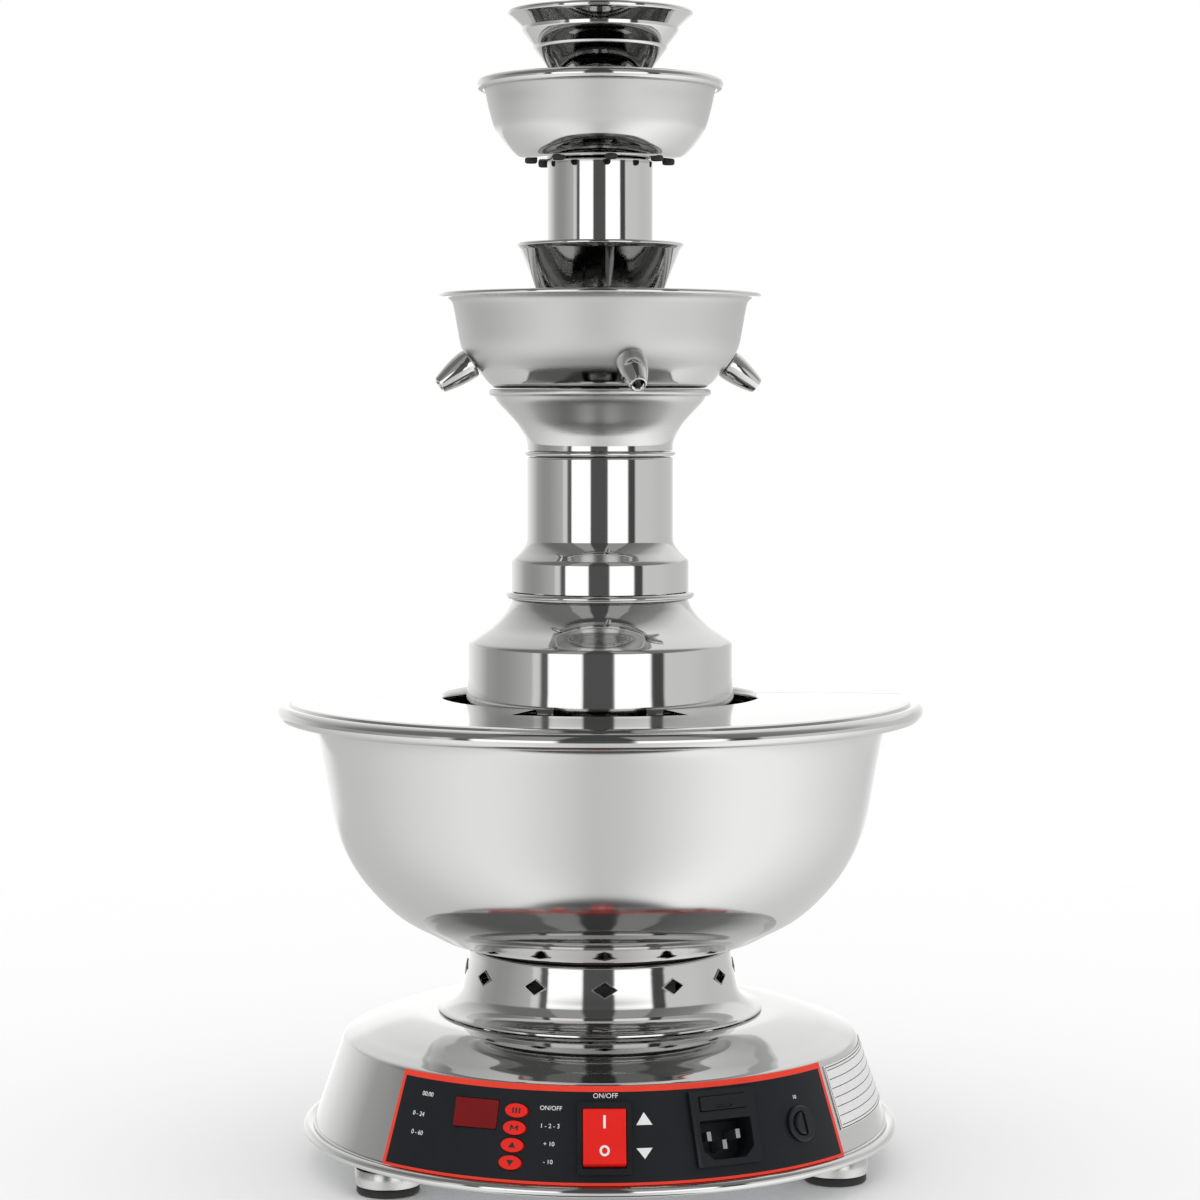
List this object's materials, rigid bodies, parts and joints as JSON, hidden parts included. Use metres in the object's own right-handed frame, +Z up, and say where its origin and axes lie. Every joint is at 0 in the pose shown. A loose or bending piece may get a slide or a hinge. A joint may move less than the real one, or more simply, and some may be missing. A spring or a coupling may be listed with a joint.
{
  "type": "wine fountain",
  "caption": "Electric drink fountain: a spun steel base with a control panel, a large bowl with a split lid and a pumped tower of smaller tapped bowls.",
  "frame": {"origin": "on the floor below the axis of the tower", "axes": "+Z up along the tower, the control panel faces -Y, +X to its right as a user sees it"},
  "size_m": [0.3, 0.3, 0.537],
  "materials": {
    "stainless": "mirror-polished stainless sheet",
    "brushed_stainless": "brushed stainless",
    "plated_steel": "zinc-plated steel",
    "black_rubber": "matt black rubber",
    "panel_plastic": "satin black plastic with an orange-red border",
    "black_plastic": "black moulded plastic",
    "red_plastic": "glossy red plastic",
    "display_lens": "tinted display window",
    "white_plastic": "white moulded plastic",
    "circuit_board": "green circuit board"
  },
  "bodies": {
    "fountain": {"base_shell": "stainless", "base_plate": "plated_steel", "power_supply": "plated_steel", "collar": "stainless", "neck_gasket": "black_rubber", "control_panel": "panel_plastic", "control_board": "circuit_board", "display_window": "display_lens", "switch_body": "black_plastic", "inlet_body": "black_plastic", "fuse_holder": "black_plastic", "motor_stand": "plated_steel", "motor_can": "plated_steel", "shaft_seal": "black_rubber", "pump_housing": "white_plastic", "riser_tube": "brushed_stainless", "outlet_head": "stainless", "bowl": "stainless", "pedestal_drum": "stainless", "joint_ring_lower": "stainless", "column": "stainless", "joint_ring_upper": "stainless", "trumpet": "stainless", "mid_bowl": "stainless", "catch_cup": "stainless", "upper_column": "stainless", "upper_bowl": "stainless", "foot_pad_1": "black_rubber", "foot_cup_1": "brushed_stainless", "foot_washer_1": "black_rubber", "inlet_pin_1": "plated_steel", "foot_pad_2": "black_rubber", "foot_cup_2": "brushed_stainless", "foot_washer_2": "black_rubber", "inlet_pin_2": "plated_steel", "foot_pad_3": "black_rubber", "foot_cup_3": "brushed_stainless", "foot_washer_3": "black_rubber", "inlet_pin_3": "plated_steel", "tap_1": "stainless", "tap_nut_1": "plated_steel", "tap_2": "stainless", "tap_nut_2": "plated_steel", "tap_3": "stainless", "tap_nut_3": "plated_steel", "tap_4": "stainless", "tap_nut_4": "plated_steel"},
    "rocker": {"rocker": "red_plastic"},
    "button_1": {"button_1": "red_plastic"},
    "button_2": {"button_2": "red_plastic"},
    "button_3": {"button_3": "red_plastic"},
    "button_4": {"button_4": "red_plastic"},
    "fuse_cap": {"fuse_cap": "black_plastic"},
    "fuse_drawer": {"inlet_fuse_drawer": "black_plastic"},
    "rotor": {"motor_shaft": "brushed_stainless", "impeller": "white_plastic"},
    "lid_front": {"lid_front": "stainless"},
    "lid_back": {"lid_back": "stainless"},
    "crown": {"crown_cup": "stainless"}
  },
  "joints": [
    {"name": "rocker_tilt", "type": "hinge", "parent": "fountain", "child": "rocker", "pos_m": [-0.0084, -0.12823, 0.03825], "axis": [0.9979, -0.0654, 0], "range_deg": [0, 14]},
    {"name": "button_1_press", "type": "slide", "parent": "fountain", "child": "button_1", "axis": [0.4062, 0.8516, -0.3315], "range_m": [0, 0.001], "stiffness_N_per_m": 400, "springref_m": -0.001},
    {"name": "button_2_press", "type": "slide", "parent": "fountain", "child": "button_2", "axis": [0.4062, 0.8516, -0.3315], "range_m": [0, 0.001], "stiffness_N_per_m": 400, "springref_m": -0.001},
    {"name": "button_3_press", "type": "slide", "parent": "fountain", "child": "button_3", "axis": [0.4062, 0.8516, -0.3315], "range_m": [0, 0.001], "stiffness_N_per_m": 400, "springref_m": -0.001},
    {"name": "button_4_press", "type": "slide", "parent": "fountain", "child": "button_4", "axis": [0.4062, 0.8516, -0.3315], "range_m": [0, 0.001], "stiffness_N_per_m": 400, "springref_m": -0.001},
    {"name": "fuse_cap_turn", "type": "hinge", "parent": "fountain", "child": "fuse_cap", "pos_m": [0.07974, -0.10133, 0.03671], "axis": [0.5834, -0.7414, 0.3315], "range_deg": [0, 90]},
    {"name": "fuse_drawer_slide", "type": "slide", "parent": "fountain", "child": "fuse_drawer", "axis": [0.3258, -0.8854, 0.3315], "range_m": [0, 0.012]},
    {"name": "pump_spin", "type": "hinge", "parent": "fountain", "child": "rotor", "pos_m": [0, 0, 0.09], "axis": [0, 0, 1], "continuous": true},
    {"name": "lid_front_lift", "type": "slide", "parent": "fountain", "child": "lid_front", "axis": [0, 0, 1], "range_m": [0, 0.06]},
    {"name": "lid_back_lift", "type": "slide", "parent": "fountain", "child": "lid_back", "axis": [0, 0, 1], "range_m": [0, 0.06]},
    {"name": "crown_lift", "type": "slide", "parent": "fountain", "child": "crown", "axis": [0, 0, 1], "range_m": [0, 0.04]}
  ]
}
